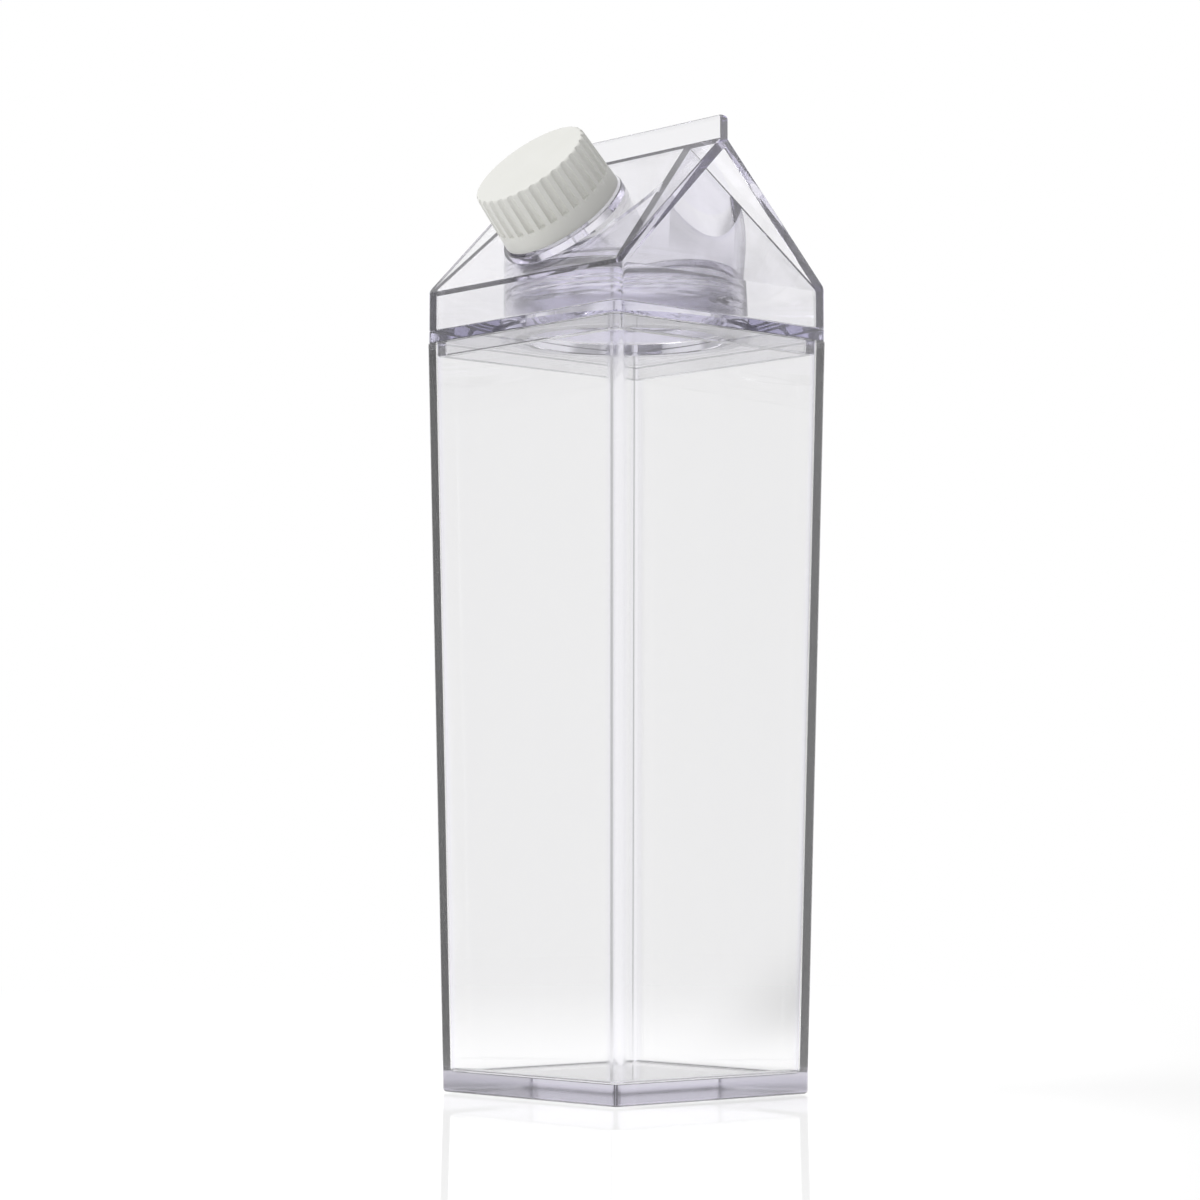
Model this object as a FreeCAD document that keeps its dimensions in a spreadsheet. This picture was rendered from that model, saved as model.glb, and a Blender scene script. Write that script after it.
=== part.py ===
import FreeCAD, Part
import os
import Sketcher
from FreeCAD import Placement, Rotation, Vector

# A clear, rigid water bottle with the shape of a gable-top milk carton.
# Frame: millimetres, +Z up, origin in the middle of the underside. The roof's ridge runs along X,
# and the screw cap stands on the slope that faces -Y.
# The bottle is made from five pieces, two of them as simpler solids that touch:
# - body_box, the tapered square box
# - shoulder_plate and neck, the plug-in plate that closes the box and the threaded neck on it
# - neck_seal, the soft ring on the neck's lip
# - gable_roof, roof_sleeve and spout, the hollow roof, the threaded sleeve in it and the tube on it
# - screw_cap, the ribbed cap on the spout

SIZES = {
    # box
    "rim_side": "66.3",
    "foot_side": "60.1",
    "rim_height": "173.4",
    "body_wall": "2.1",
    "floor_thickness": "4.6",
    "corner_radius": "1.6",
    "cavity_radius": "1.2",
    "foot_radius": "0.8",
    # shoulder plate and its plug
    "plate_thickness": "2.8",
    "plug_depth": "3.2",
    "plug_wall": "2.0",
    "plug_clearance": "0.2",
    # neck
    "mouth_radius": "21.7",
    "neck_wall": "2.5",
    "neck_height": "10.8",
    "lip_radius": "0.7",
    # screw thread between neck and sleeve
    "thread_pitch": "4.0",
    "thread_rise": "6.0",
    "thread_start": "1.6",
    "thread_depth": "1.2",
    "thread_root": "2.0",
    "thread_crest": "0.8",
    "thread_clearance": "0.4",
    "thread_bury": "0.2",
    # seal between neck and roof
    "seal_thickness": "1.3",
    "seal_width": "2.2",
    # roof and shoulder plate
    "house_side": "66.0",
    "eave_rise": "9.0",
    "roof_angle": "44.5",
    "house_wall": "2.0",
    "fin_thickness": "2.4",
    "fin_height": "5.7",
    "fin_corner_radius": "2.0",
    "fin_edge_radius": "0.4",
    "fold_inset": "10.0",
    "slope_edge": "2.4",
    "sleeve_wall": "1.9",
    "ledge_thickness": "1.5",
    # spout and cap
    "spout_up_slope": "20.5",
    "spout_bore_radius": "10.0",
    "spout_wall": "2.0",
    "collar_radius": "15.6",
    "collar_height": "1.8",
    "cap_gap": "0.5",
    "cap_clearance": "0.4",
    "cap_seat_gap": "0.2",
    "cap_height": "14.4",
    "cap_base_radius": "15.05",
    "cap_top_radius": "14.35",
    "cap_top_thickness": "1.6",
    "cap_edge_radius": "0.7",
    "cap_skirt": "4.5",
    "cap_grooves": "30",
    "groove_radius": "0.85",
    "groove_depth": "0.55",
    # how far a cutting shape runs past what it cuts
    "overrun": "1.0",
}

document = FreeCAD.newDocument("milk_carton_shaped_bottle")
sheet = document.addObject("Spreadsheet::Sheet", "Sizes")
for row, (alias, number) in enumerate(SIZES.items(), start=1):
    sheet.set(f"A{row}", alias)
    sheet.set(f"B{row}", number)
    sheet.setAlias(f"B{row}", alias)
document.recompute()

# Sizes that follow from the sheet, as expressions.
HALF_HOUSE = "Sizes.house_side / 2"
BODY_TAPER = "atan((Sizes.rim_side - Sizes.foot_side) / 2 / Sizes.rim_height)"
RIM_INSIDE = "Sizes.rim_side / 2 - Sizes.body_wall"
PLUG_OUTSIDE = f"{RIM_INSIDE} - Sizes.plug_clearance"
PLUG_INSIDE = f"{PLUG_OUTSIDE} - Sizes.plug_wall"
PLATE_TOP = "Sizes.rim_height + Sizes.plate_thickness"
NECK_TOP = f"{PLATE_TOP} + Sizes.neck_height"
NECK_OUTSIDE = "Sizes.mouth_radius + Sizes.neck_wall"
LEDGE = f"{NECK_TOP} + Sizes.seal_thickness"
SLEEVE_INSIDE = f"{NECK_OUTSIDE} + Sizes.thread_depth + Sizes.thread_clearance"
SLEEVE_OUTSIDE = f"{SLEEVE_INSIDE} + Sizes.sleeve_wall"
EAVE = f"{PLATE_TOP} + Sizes.eave_rise"
HALF_FIN = "Sizes.fin_thickness / 2"
APEX = f"{EAVE} + {HALF_HOUSE} * tan(Sizes.roof_angle)"
FIN_FOOT = f"{APEX} - {HALF_FIN} * tan(Sizes.roof_angle)"
FIN_TOP = f"{FIN_FOOT} + Sizes.fin_height"
SPOUT_OUTSIDE = "Sizes.spout_bore_radius + Sizes.spout_wall"
SPOUT_RISE = ("Sizes.collar_height + Sizes.cap_gap + Sizes.cap_height"
              " - Sizes.cap_top_thickness - Sizes.cap_seat_gap")
SPOUT_Y = f"Sizes.spout_up_slope * cos(Sizes.roof_angle) - {HALF_HOUSE}"
SPOUT_Z = f"{EAVE} + Sizes.spout_up_slope * sin(Sizes.roof_angle)"
CAP_INSIDE = f"{SPOUT_OUTSIDE} + Sizes.cap_clearance"


def value(expression):
    """The number that an expression of the sheet's sizes gives, in millimetres or degrees."""
    result = sheet.evalExpression(expression)
    return getattr(result, "Value", result)


def make_body(name):
    return document.addObject("PartDesign::Body", name)


def make_sketch(body, name, plane, points, offset=None):
    """A closed polygon on one of the body's origin planes, each corner placed by expressions."""
    sketch = body.newObject("Sketcher::SketchObject", name)
    origin_plane = next(item for item in body.Origin.OriginFeatures if item.Role == plane)
    sketch.AttachmentSupport = [(origin_plane, "")]
    sketch.MapMode = "FlatFace"
    if offset:
        sketch.setExpression(".AttachmentOffset.Base.z", offset)
    corners = [Vector(value(across), value(up), 0) for across, up in points]
    for index, corner in enumerate(corners):
        sketch.addGeometry(Part.LineSegment(corner, corners[(index + 1) % len(corners)]))
    for index in range(len(corners)):
        sketch.addConstraint(Sketcher.Constraint("Coincident", index, 2, (index + 1) % len(corners), 1))
    for index, (across, up) in enumerate(points):
        place_point(sketch, "DistanceX", index, across)
        place_point(sketch, "DistanceY", index, up)
    return sketch


def place_point(sketch, kind, index, expression):
    """Hold one coordinate of a corner at an expression's value, measured from the origin."""
    constraint = sketch.addConstraint(Sketcher.Constraint(kind, -1, 1, index, 1, value(expression)))
    sketch.setExpression(f"Constraints[{constraint}]", expression)


def square(half):
    return [(f"-({half})", f"-({half})"), (half, f"-({half})"), (half, half), (f"-({half})", half)]


def rectangle(left, right, low, high):
    return [(left, low), (right, low), (right, high), (left, high)]


def pad(body, name, sketch, length, reverse=False, middle=False):
    feature = body.newObject("PartDesign::Pad", name)
    feature.Profile = sketch
    feature.setExpression("Length", length)
    feature.Reversed = reverse
    feature.Midplane = middle
    return feature


def pocket(body, name, sketch, length):
    """Cut a sketch down into the body, and make sure that it took something away."""
    document.recompute()
    before = body.Shape.Volume
    feature = body.newObject("PartDesign::Pocket", name)
    feature.Profile = sketch
    feature.setExpression("Length", length)
    document.recompute()
    if body.Shape.Volume >= before:
        raise RuntimeError(f"{name} cuts nothing")
    return feature


def revolve(body, name, sketch):
    feature = body.newObject("PartDesign::Revolution", name)
    feature.Profile = sketch
    feature.ReferenceAxis = (sketch, ["V_Axis"])
    feature.Angle = 360
    return feature


def fillet(body, name, radius, is_chosen):
    """Round the edges of the body that a test picks out."""
    document.recompute()
    tip = body.Tip
    names = [f"Edge{number}" for number, edge in enumerate(tip.Shape.Edges, start=1) if is_chosen(edge)]
    feature = body.newObject("PartDesign::Fillet", name)
    feature.Base = (tip, names)
    feature.setExpression("Radius", radius)
    return feature


def is_upright(edge):
    return edge.tangentAt(edge.FirstParameter).z ** 2 > 0.9


def lies_at_height(edge, height):
    return edge.BoundBox.ZLength < 0.01 and abs(edge.BoundBox.ZMin - height) < 0.01


def thread_ridge(body, name, radius, direction, start):
    """A helical ridge of trapezoid section on a wall, outward for a direction of 1, inward for -1."""
    root = f"{radius} - ({direction}) * Sizes.thread_bury"
    crest = f"{radius} + ({direction}) * Sizes.thread_depth"
    middle = f"{start} + Sizes.thread_root / 2"
    points = [
        (root, start),
        (crest, f"{middle} - Sizes.thread_crest / 2"),
        (crest, f"{middle} + Sizes.thread_crest / 2"),
        (root, f"{start} + Sizes.thread_root"),
    ]
    section = make_sketch(body, f"{name}_section", "XZ_Plane", points)
    document.recompute()
    ridge = body.newObject("PartDesign::AdditiveHelix", name)
    ridge.Profile = section
    ridge.ReferenceAxis = (section, ["V_Axis"])
    ridge.Mode = "pitch-height-angle"
    ridge.setExpression("Pitch", "Sizes.thread_pitch")
    ridge.setExpression("Height", "Sizes.thread_rise")
    return ridge


def boolean(kind, name, base, tool):
    feature = document.addObject(f"Part::{kind}", name)
    feature.Base = base
    feature.Tool = tool
    return feature


def make_body_box():
    """Tapered square box, open at the rim, with a thick floor."""
    body = make_body("body_box")
    foot = make_sketch(body, "foot", "XY_Plane", square("Sizes.foot_side / 2"))
    outside = pad(body, "outside", foot, "Sizes.rim_height")
    outside.setExpression("TaperAngle", BODY_TAPER)
    fillet(body, "outer_corners", "Sizes.corner_radius", is_upright)
    fillet(body, "foot_round", "Sizes.foot_radius", lambda edge: lies_at_height(edge, 0))
    mouth = make_sketch(body, "mouth", "XY_Plane", square(RIM_INSIDE), offset="Sizes.rim_height")
    cavity = pocket(body, "cavity", mouth, "Sizes.rim_height - Sizes.floor_thickness")
    cavity.setExpression("TaperAngle", f"-1 * {BODY_TAPER}")
    reach = value(RIM_INSIDE)
    floor = value("Sizes.floor_thickness")

    def is_inner_corner(edge):
        inside = all(abs(vertex.X) < reach + 0.01 and vertex.Z > floor - 0.01 for vertex in edge.Vertexes)
        return is_upright(edge) and inside

    fillet(body, "inner_corners", "Sizes.cavity_radius", is_inner_corner)
    fillet(body, "floor_round", "Sizes.cavity_radius", lambda edge: lies_at_height(edge, floor))
    return body


def make_shoulder_plate():
    """Square plate on the rim, with a plug frame below it and a round hole through it."""
    body = make_body("shoulder_plate")
    rim = "Sizes.rim_height"
    plate = make_sketch(body, "plate", "XY_Plane", square(HALF_HOUSE), offset=rim)
    pad(body, "plate_pad", plate, "Sizes.plate_thickness")
    fillet(body, "plate_corners", "Sizes.corner_radius", is_upright)
    plug = make_sketch(body, "plug", "XY_Plane", square(PLUG_OUTSIDE), offset=rim)
    pad(body, "plug_pad", plug, "Sizes.plug_depth", reverse=True)
    rim_height = value(rim)

    def is_plug_corner(edge):
        return is_upright(edge) and edge.BoundBox.ZMax < rim_height + 0.01

    fillet(body, "plug_corners", "Sizes.cavity_radius", is_plug_corner)
    recess = make_sketch(body, "recess", "XY_Plane", square(PLUG_INSIDE), offset=rim)
    pocket(body, "recess_cut", recess, "Sizes.plug_depth")
    bore = make_sketch(body, "bore", "XZ_Plane", rectangle("0", "Sizes.mouth_radius", rim, PLATE_TOP))
    document.recompute()
    groove = body.newObject("PartDesign::Groove", "bore_cut")
    groove.Profile = bore
    groove.ReferenceAxis = (bore, ["V_Axis"])
    groove.Angle = 360
    return body


def make_neck():
    """Round neck on the plate, with a rounded lip and a screw thread."""
    body = make_body("neck")
    ring = rectangle("Sizes.mouth_radius", NECK_OUTSIDE, PLATE_TOP, NECK_TOP)
    revolve(body, "neck_wall", make_sketch(body, "neck_section", "XZ_Plane", ring))
    neck_top = value(NECK_TOP)
    fillet(body, "lip_round", "Sizes.lip_radius", lambda edge: lies_at_height(edge, neck_top))
    thread_ridge(body, "neck_thread", NECK_OUTSIDE, 1, f"{PLATE_TOP} + Sizes.thread_start")
    return body


def make_neck_seal():
    """Flat soft ring, as wide as the flat of the neck's lip, squeezed under the sleeve's ledge."""
    body = make_body("neck_seal")
    ring = rectangle("Sizes.mouth_radius", "Sizes.mouth_radius + Sizes.seal_width", NECK_TOP, LEDGE)
    revolve(body, "seal_ring", make_sketch(body, "seal_section", "XZ_Plane", ring))
    return body


def make_house(name, half_width, length, low, eave, with_fin):
    """Prism of the house's section along X, with or without the fin on its ridge."""
    body = make_body(name)
    right = [(half_width, low), (half_width, eave)]
    apex = f"{eave} + ({half_width}) * tan(Sizes.roof_angle)"
    if with_fin:
        right += [(HALF_FIN, FIN_FOOT), (HALF_FIN, FIN_TOP)]
        left = [(f"-({across})", up) for across, up in reversed(right)]
    else:
        left = [("0", apex)] + [(f"-({across})", up) for across, up in reversed(right)]
    section = make_sketch(body, f"{name}_section", "YZ_Plane", right + left)
    pad(body, f"{name}_pad", section, length, middle=True)
    return body


def make_fold(name, wall):
    """The two notches under the slopes' ends, over the leaning gable walls. Larger by a wall."""
    half = value(HALF_HOUSE)
    eave = value(EAVE)
    foot = value(f"{HALF_HOUSE} - Sizes.slope_edge / sin(Sizes.roof_angle)")
    ridge = value(f"{APEX} - Sizes.slope_edge / cos(Sizes.roof_angle)")
    left_foot = Vector(half, -foot, eave)
    right_foot = Vector(half, foot, eave)
    ridge_end = Vector(half, 0, ridge)
    fold_point = Vector(half - value("Sizes.fold_inset"), 0, ridge)
    faces = [
        (left_foot, right_foot, ridge_end, fold_point),
        (left_foot, right_foot, fold_point, ridge_end),
        (left_foot, ridge_end, fold_point, right_foot),
        (right_foot, ridge_end, fold_point, left_foot),
    ]
    areas = [(b - a).cross(c - a).Length / 2 for a, b, c, _ in faces]
    opposite = [face[3] for face in faces]
    centre = Vector()
    for area, corner in zip(areas, opposite):
        centre += corner * (area / sum(areas))
    volume = abs((right_foot - left_foot).cross(ridge_end - left_foot).dot(fold_point - left_foot)) / 6
    inner_radius = 3 * volume / sum(areas)
    scale = (inner_radius + wall) / inner_radius
    notch_faces = []
    for face in faces:
        corners = [centre + (corner - centre) * scale for corner in face[:3]]
        notch_faces.append(Part.Face(Part.makePolygon(corners + corners[:1])))
    notch = Part.Solid(Part.Shell(notch_faces))
    if notch.Volume < 0:
        notch.reverse()
    other = notch.mirror(Vector(), Vector(1, 0, 0))
    feature = document.addObject("Part::Feature", name)
    feature.Shape = Part.makeCompound([notch, other])
    return feature


def make_on_slope(name, points):
    """A turned piece that stands on the front slope, its axis square to the slope."""
    body = make_body(name)
    revolve(body, f"{name}_turned", make_sketch(body, f"{name}_section", "XZ_Plane", points))
    stand_on_slope(body)
    return body


def stand_on_slope(item):
    item.Placement = Placement(Vector(), Rotation(Vector(1, 0, 0), value("Sizes.roof_angle")))
    item.setExpression(".Placement.Base.y", SPOUT_Y)
    item.setExpression(".Placement.Base.z", SPOUT_Z)
    item.setExpression(".Placement.Rotation.Angle", "Sizes.roof_angle")


def is_upright_wall_edge(edge):
    low_end = value(PLATE_TOP)
    return is_upright(edge) and abs(edge.BoundBox.ZMin - low_end) < 0.01


def make_roof_hollow():
    """The space inside the roof, open below, with the folded gable ends' walls left out of it."""
    wall = "Sizes.house_wall"
    half = f"{HALF_HOUSE} - {wall}"
    eave = f"{EAVE} + {wall} * tan(Sizes.roof_angle) - {wall} / cos(Sizes.roof_angle)"
    low = f"{PLATE_TOP} - Sizes.overrun"
    inside = make_house("house_inside", half, f"2 * ({half})", low, eave, False)
    return boolean("Cut", "roof_hollow", inside, make_fold("gable_fold_wall", value(wall)))


def make_gable_roof(hollow):
    """Hollow roof with short walls, folded gable ends, a fin, and a hole for the spout."""
    house = make_house("house_outside", HALF_HOUSE, "Sizes.house_side", PLATE_TOP, EAVE, True)
    fillet(house, "house_corners", "Sizes.corner_radius", is_upright_wall_edge)
    fin_top = value(FIN_TOP)

    def is_fin_end(edge):
        return lies_at_height(edge, fin_top) and edge.BoundBox.XLength < 0.01

    def is_fin_edge(edge):
        return lies_at_height(edge, fin_top) and edge.BoundBox.YLength < 0.01

    fillet(house, "fin_ends", "Sizes.fin_corner_radius", is_fin_end)
    fillet(house, "fin_edges", "Sizes.fin_edge_radius", is_fin_edge)
    block = boolean("Cut", "roof_block", house, make_fold("gable_fold", 0))
    shell = boolean("Cut", "roof_shell", block, hollow)
    low = "-1 * (Sizes.house_wall + Sizes.overrun)"
    hole = make_on_slope("spout_hole", rectangle("0", "Sizes.spout_bore_radius", low, "Sizes.overrun"))
    return boolean("Cut", "gable_roof", shell, hole)


def make_roof_sleeve(hollow):
    """Tube that stands on the plate and ends at the roof, with a thread and a ledge for the seal."""
    body = make_body("sleeve")
    ledge_top = f"{LEDGE} + Sizes.ledge_thickness"
    ring = [
        (SLEEVE_INSIDE, PLATE_TOP),
        (SLEEVE_OUTSIDE, PLATE_TOP),
        (SLEEVE_OUTSIDE, APEX),
        (SLEEVE_INSIDE, APEX),
        (SLEEVE_INSIDE, ledge_top),
        ("Sizes.mouth_radius", ledge_top),
        ("Sizes.mouth_radius", LEDGE),
        (SLEEVE_INSIDE, LEDGE),
    ]
    revolve(body, "sleeve_wall", make_sketch(body, "sleeve_section", "XZ_Plane", ring))
    ridge_start = f"{PLATE_TOP} + Sizes.thread_start + Sizes.thread_pitch / 2"
    thread_ridge(body, "sleeve_thread", SLEEVE_INSIDE, -1, ridge_start)
    return boolean("Common", "roof_sleeve", hollow, body)


def make_spout():
    """Short tube with a collar round its foot, square to the front slope."""
    section = [
        ("Sizes.spout_bore_radius", "0"),
        ("Sizes.collar_radius", "0"),
        ("Sizes.collar_radius", "Sizes.collar_height"),
        (SPOUT_OUTSIDE, "Sizes.collar_height"),
        (SPOUT_OUTSIDE, SPOUT_RISE),
        ("Sizes.spout_bore_radius", SPOUT_RISE),
    ]
    return make_on_slope("spout", section)


def make_screw_cap():
    """Cup-shaped cap with a plain skirt, and grooves that run from above the skirt to the top."""
    slant = "(Sizes.cap_base_radius - Sizes.cap_top_radius) / Sizes.cap_height"
    low = "Sizes.collar_height + Sizes.cap_gap"
    high = f"{low} + Sizes.cap_height"
    ceiling = f"{high} - Sizes.cap_top_thickness"
    body = make_body("screw_cap")
    cup = [
        (CAP_INSIDE, low),
        ("Sizes.cap_base_radius", low),
        ("Sizes.cap_top_radius", high),
        ("0", high),
        ("0", ceiling),
        (CAP_INSIDE, ceiling),
    ]
    revolve(body, "cup", make_sketch(body, "cup_section", "XZ_Plane", cup))
    top = value(high)
    fillet(body, "cap_edge", "Sizes.cap_edge_radius", lambda edge: lies_at_height(edge, top))
    floor = "Sizes.cap_top_radius - Sizes.groove_depth"
    centre = f"{floor} + Sizes.groove_radius"
    outline = body.newObject("Sketcher::SketchObject", "groove_outline")
    origin_plane = next(item for item in body.Origin.OriginFeatures if item.Role == "XY_Plane")
    outline.AttachmentSupport = [(origin_plane, "")]
    outline.MapMode = "FlatFace"
    outline.setExpression(".AttachmentOffset.Base.z", high)
    circle = Part.Circle(Vector(value(centre), 0, 0), Vector(0, 0, 1), value("Sizes.groove_radius"))
    outline.addGeometry(circle)
    outline.addConstraint(Sketcher.Constraint("PointOnObject", 0, 3, -1))
    place = outline.addConstraint(Sketcher.Constraint("DistanceX", -1, 1, 0, 3, value(centre)))
    outline.setExpression(f"Constraints[{place}]", centre)
    size = outline.addConstraint(Sketcher.Constraint("Radius", 0, value("Sizes.groove_radius")))
    outline.setExpression(f"Constraints[{size}]", "Sizes.groove_radius")
    groove = pocket(body, "groove", outline, "Sizes.cap_height - Sizes.cap_skirt")
    pattern = body.newObject("PartDesign::PolarPattern", "grooves")
    pattern.Originals = [groove]
    pattern.Axis = (outline, ["N_Axis"])
    pattern.Angle = 360
    pattern.setExpression("Occurrences", "Sizes.cap_grooves")
    body.Tip = pattern
    stand_on_slope(body)
    return body


def check_document():
    for item in document.Objects:
        if "Invalid" in item.State or "Error" in item.State:
            raise RuntimeError(f"{item.Name} failed: {item.State}")


def export(nodes):
    os.makedirs("parts", exist_ok=True)
    for name, item in nodes.items():
        shape = item.Shape
        if shape.isNull() or not shape.isValid() or len(shape.Solids) != 1:
            raise RuntimeError(f"{name} is not one valid solid")
        item.Label = name
        shape.exportStep(f"parts/{name}.step")
        print(name, round(shape.Volume), "mm3")


roof_hollow = make_roof_hollow()
nodes = {
    "body_box": make_body_box(),
    "shoulder_plate": make_shoulder_plate(),
    "neck": make_neck(),
    "neck_seal": make_neck_seal(),
    "gable_roof": make_gable_roof(roof_hollow),
    "roof_sleeve": make_roof_sleeve(roof_hollow),
    "spout": make_spout(),
    "screw_cap": make_screw_cap(),
}
document.recompute()
check_document()
export(nodes)
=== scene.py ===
import math

import bmesh
import bpy
from mathutils import Matrix, Vector


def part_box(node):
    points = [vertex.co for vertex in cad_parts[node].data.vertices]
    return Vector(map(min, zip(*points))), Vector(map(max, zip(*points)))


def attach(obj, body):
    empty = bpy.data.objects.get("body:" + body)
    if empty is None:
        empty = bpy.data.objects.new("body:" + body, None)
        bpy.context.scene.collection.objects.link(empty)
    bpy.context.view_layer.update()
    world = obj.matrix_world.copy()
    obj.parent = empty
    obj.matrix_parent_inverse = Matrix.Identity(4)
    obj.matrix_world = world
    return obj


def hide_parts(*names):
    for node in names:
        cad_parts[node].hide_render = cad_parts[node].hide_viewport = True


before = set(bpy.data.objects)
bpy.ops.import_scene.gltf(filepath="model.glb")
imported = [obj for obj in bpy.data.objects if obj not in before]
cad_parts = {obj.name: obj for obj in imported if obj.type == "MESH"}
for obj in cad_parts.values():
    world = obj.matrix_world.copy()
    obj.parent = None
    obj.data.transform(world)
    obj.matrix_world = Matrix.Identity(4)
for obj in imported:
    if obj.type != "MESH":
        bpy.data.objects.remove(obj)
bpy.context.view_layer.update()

# ---------------------------------------------------------------------------------------------
# Box: a square, slightly tapered box with a thick floor, injection moulded in one shot from clear
# styrene-acrylonitrile (SAN). Its walls are polished, and the mould rounds its edges a little.
# Lengths are in millimetres, here and for every other piece, and MM turns them to metres.
# ---------------------------------------------------------------------------------------------
MM = 0.001
FOOT_SIDE = 60.1
BOX_WALL = 2.1
BOX_FLOOR = 4.6
BOX_CORNER = 1.6
BOX_INNER_CORNER = 1.2
FOOT_ROUND = 0.8
RIM_ROUND = 0.2
JOINT_GAP = 0.05
SMALLEST_CORNER = 0.05
CORNER_STEPS = 8
SIDE_STEPS = 40
ROUND_STEPS = 6
EDGE_STEPS = 3
RING_POINTS = 4 * (CORNER_STEPS + SIDE_STEPS)
BOX_TINT = "#8C82A6"
BOX_DENSITY = 9.0
CLEAR_IOR = 1.57
BOX_ALPHA = 0.96
SATIN_ROUGHNESS = 0.12
SATIN_SHADE = "#FAF9FF"
SATIN_REACH = 3.2
SATIN_EDGE = 0.4


def to_linear(hex_colour):
    """An sRGB hex colour as the linear numbers that a shader takes."""
    channels = [int(hex_colour[i:i + 2], 16) / 255 for i in (1, 3, 5)]
    linear = [c / 12.92 if c <= 0.04045 else ((c + 0.055) / 1.055) ** 2.4 for c in channels]
    return (*linear, 1.0)


def add(tree, kind, values=None, links=None, **settings):
    """A node with its settings, the values of its sockets and the sockets that feed it."""
    node = tree.nodes.new(kind)
    for name, setting in settings.items():
        setattr(node, name, setting)
    for socket, number in (values or {}).items():
        node.inputs[socket].default_value = number
    for socket, source in (links or {}).items():
        tree.links.new(source, node.inputs[socket])
    return node


def square_ring(half, corner, height):
    """Points round a square with rounded corners, in millimetres."""
    corner = max(corner, SMALLEST_CORNER)
    points = []
    for turn in range(4):
        spin = Matrix.Rotation(math.radians(90 * turn), 3, "Z")
        for step in range(CORNER_STEPS + 1):
            angle = math.radians(90 * step / CORNER_STEPS)
            across = half - corner + corner * math.cos(angle)
            along = half - corner + corner * math.sin(angle)
            points.append(spin @ Vector((across, along, height)))
        for step in range(1, SIDE_STEPS):
            along = (half - corner) * (1 - 2 * step / SIDE_STEPS)
            points.append(spin @ Vector((along, half, height)))
    return points


def arc(centre_across, centre_up, radius, start, end, steps):
    """Points of an arc in a section, from one angle to another in degrees."""
    points = []
    for step in range(steps + 1):
        angle = math.radians(start + (end - start) * step / steps)
        points.append((centre_across + radius * math.cos(angle), centre_up + radius * math.sin(angle)))
    return points


def as_object(name, mesh):
    """The working mesh as an object of the scene, its faces pointing outward."""
    bmesh.ops.recalc_face_normals(mesh, faces=mesh.faces)
    data = bpy.data.meshes.new(name)
    mesh.to_mesh(data)
    mesh.free()
    piece = bpy.data.objects.new(name, data)
    bpy.context.scene.collection.objects.link(piece)
    return piece


def skin(name, rings, closed=False):
    """A mesh through rings of points. Its ends are capped, unless the last ring meets the first."""
    mesh = bmesh.new()
    rows = [[mesh.verts.new(point) for point in ring] for ring in rings]
    pairs = list(zip(rows, rows[1:]))
    if closed:
        pairs.append((rows[-1], rows[0]))
    for low, high in pairs:
        for index in range(len(low)):
            after = (index + 1) % len(low)
            mesh.faces.new((low[index], low[after], high[after], high[index]))
    if not closed:
        mesh.faces.new(rows[0])
        mesh.faces.new(rows[-1])
    return as_object(name, mesh)


def bake(piece):
    """Turn what the piece's modifiers make into its plain mesh."""
    graph = bpy.context.evaluated_depsgraph_get()
    made = bpy.data.meshes.new_from_object(piece.evaluated_get(graph))
    piece.modifiers.clear()
    old = piece.data
    piece.data = made
    made.name = piece.name
    bpy.data.meshes.remove(old)


def finish_mesh(piece, sharp_degrees=30):
    """Millimetres to metres, then smooth shading that leaves the flat faces flat."""
    piece.data.transform(Matrix.Scale(MM, 4))
    piece.data.shade_smooth()
    piece.data.set_sharp_from_angle(angle=math.radians(sharp_degrees))
    weighted = piece.modifiers.new("weighted", "WEIGHTED_NORMAL")
    weighted.mode = "FACE_AREA_WITH_ANGLE"
    weighted.weight = 60
    weighted.keep_sharp = True
    bake(piece)


def dress(piece, material, slot, *nodes):
    """Give the piece its material, hide the CAD parts that it takes the place of, and hang it on the root
    body.
    """
    piece.data.materials.clear()
    piece.data.materials.append(material)
    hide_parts(*nodes)
    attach(piece, "root")


def empty_material(name):
    """A material with nothing in its tree but the piece's own coordinates."""
    material = bpy.data.materials.new(name)
    material.use_nodes = True
    material.node_tree.nodes.clear()
    place = add(material.node_tree, "ShaderNodeTexCoord")
    return material, material.node_tree, place.outputs["Object"]


def clear_plastic(name, tint, density, alpha, ripple, ripple_height, satin_zone):
    """Polished clear SAN, faintly lavender where it is thick, with the long, very shallow waves
    that shrinkage leaves in a moulded wall. The mould is less polished in the satin zone. An alpha
    below 1 lets out some of the light that the walls would otherwise trap."""
    material, tree, place = empty_material(name)
    waves = add(
        tree, "ShaderNodeTexNoise",
        {"Scale": 1 / (ripple * MM), "Detail": 1.5, "Roughness": 0.4},
        {"Vector": place})
    bump = add(
        tree, "ShaderNodeBump",
        {"Strength": 1.0, "Distance": ripple_height * MM},
        {"Height": waves.outputs["Fac"]})
    satin = satin_zone(tree, place)
    rough = add(tree, "ShaderNodeMath", {1: SATIN_ROUGHNESS}, {0: satin}, operation="MULTIPLY")
    shade = add(
        tree, "ShaderNodeMix", {6: (1, 1, 1, 1), 7: to_linear(SATIN_SHADE)}, {"Factor": satin},
        data_type="RGBA")
    surface = add(
        tree, "ShaderNodeBsdfPrincipled",
        {"IOR": CLEAR_IOR, "Transmission Weight": 1.0, "Alpha": alpha},
        {
            "Base Color": shade.outputs[2],
            "Roughness": rough.outputs[0],
            "Normal": bump.outputs["Normal"]})
    inside = add(tree, "ShaderNodeVolumeAbsorption", {"Color": to_linear(tint), "Density": density})
    add(
        tree, "ShaderNodeOutputMaterial",
        links={"Surface": surface.outputs["BSDF"], "Volume": inside.outputs["Volume"]})
    return material


box_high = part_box("body_box")[1]
rim = box_high.z / MM
rim_half = box_high.x / MM
foot_half = FOOT_SIDE / 2


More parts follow.
